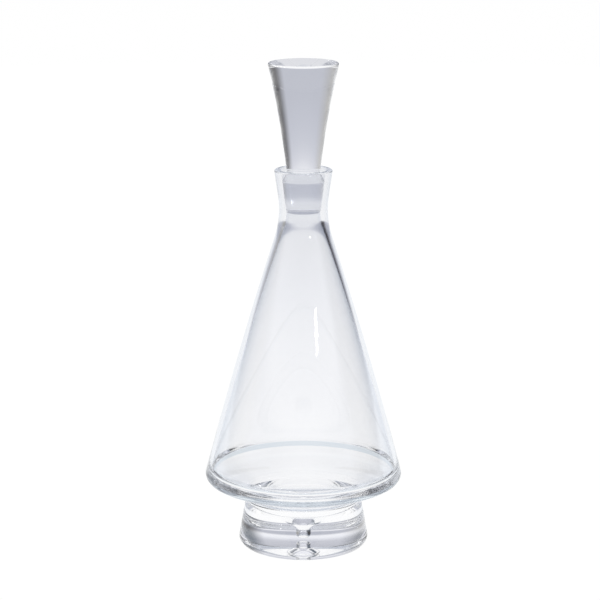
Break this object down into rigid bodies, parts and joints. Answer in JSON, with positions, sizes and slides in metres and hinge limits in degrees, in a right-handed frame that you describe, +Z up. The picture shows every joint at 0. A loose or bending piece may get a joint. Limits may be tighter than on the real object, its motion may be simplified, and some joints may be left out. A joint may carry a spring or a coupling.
{
  "type": "wine decanter",
  "caption": "Clear glass wine decanter: tall conical bowl with a flared neck, heavy solid foot with a trapped air bubble, and a solid inverted-cone stopper ground into the neck.",
  "frame": {"origin": "centre of the foot's ring, on the surface that the decanter stands on", "axes": "+Z up along the axis of the bowl, neck and stopper; the object is the same all round, so +X and +Y are free"},
  "size_m": [0.1336, 0.1336, 0.33],
  "materials": {
    "clear_glass": "clear blown glass, polished, very faint waviness",
    "foot_glass": "clear solid glass, polished",
    "stopper_glass": "clear solid glass, polished head and finely ground plug"
  },
  "bodies": {
    "vessel": {"bowl": "clear_glass", "foot": "foot_glass"},
    "stopper": {"stopper": "stopper_glass"}
  },
  "joints": [
    {"name": "stopper_lift", "type": "slide", "parent": "vessel", "child": "stopper", "axis": [0, 0, 1], "range_m": [0, 0.08]}
  ]
}
